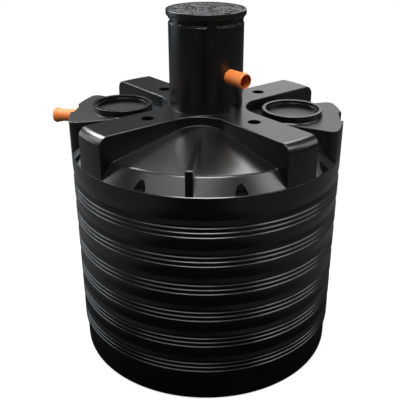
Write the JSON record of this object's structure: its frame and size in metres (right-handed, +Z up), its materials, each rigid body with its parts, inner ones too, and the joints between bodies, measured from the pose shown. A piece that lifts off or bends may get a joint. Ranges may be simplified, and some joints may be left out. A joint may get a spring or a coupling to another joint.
{
  "type": "underground water tank",
  "caption": "Round ribbed plastic underground water tank with a crossed-arm roof, a central access shaft with a lift-off cover, and orange pipe sockets.",
  "frame": {"origin": "on the tank's vertical axis, in the plane of its flat underside", "axes": "+Z up the axis; -X towards the side inlet pipe, -Y towards the front gusset"},
  "size_m": [2.587, 2.4, 3.127],
  "materials": {
    "tank_plastic": "satin moulded",
    "frame_plastic": "satin moulded",
    "cover_plastic": "rough textured",
    "pipe_plastic": "satin extruded",
    "seal_rubber": "matte"
  },
  "bodies": {
    "tank": {"arm_1": "tank_plastic", "arm_2": "tank_plastic", "arm_3": "tank_plastic", "arm_4": "tank_plastic", "base": "tank_plastic", "cover_frame": "frame_plastic", "frame_lug": "frame_plastic", "gusset_back": "tank_plastic", "gusset_front": "tank_plastic", "hoop_1": "tank_plastic", "hoop_2": "tank_plastic", "hoop_3": "tank_plastic", "hoop_4": "tank_plastic", "hoop_5": "tank_plastic", "hoop_6": "tank_plastic", "hub": "tank_plastic", "inlet_pipe": "pipe_plastic", "inlet_seal": "seal_rubber", "outlet_pipe": "pipe_plastic", "outlet_seal": "seal_rubber", "platform_left": "tank_plastic", "platform_right": "tank_plastic", "riser": "tank_plastic", "roof_cone": "tank_plastic", "roof_edge": "tank_plastic", "shoulder_ring": "tank_plastic", "upstand_left": "tank_plastic", "upstand_right": "tank_plastic"},
    "cover_body": {"cover": "cover_plastic"}
  },
  "joints": [
    {"name": "cover_lift", "type": "slide", "parent": "tank", "child": "cover_body", "axis": [0, 0, 1], "range_m": [0, 0.3]}
  ]
}
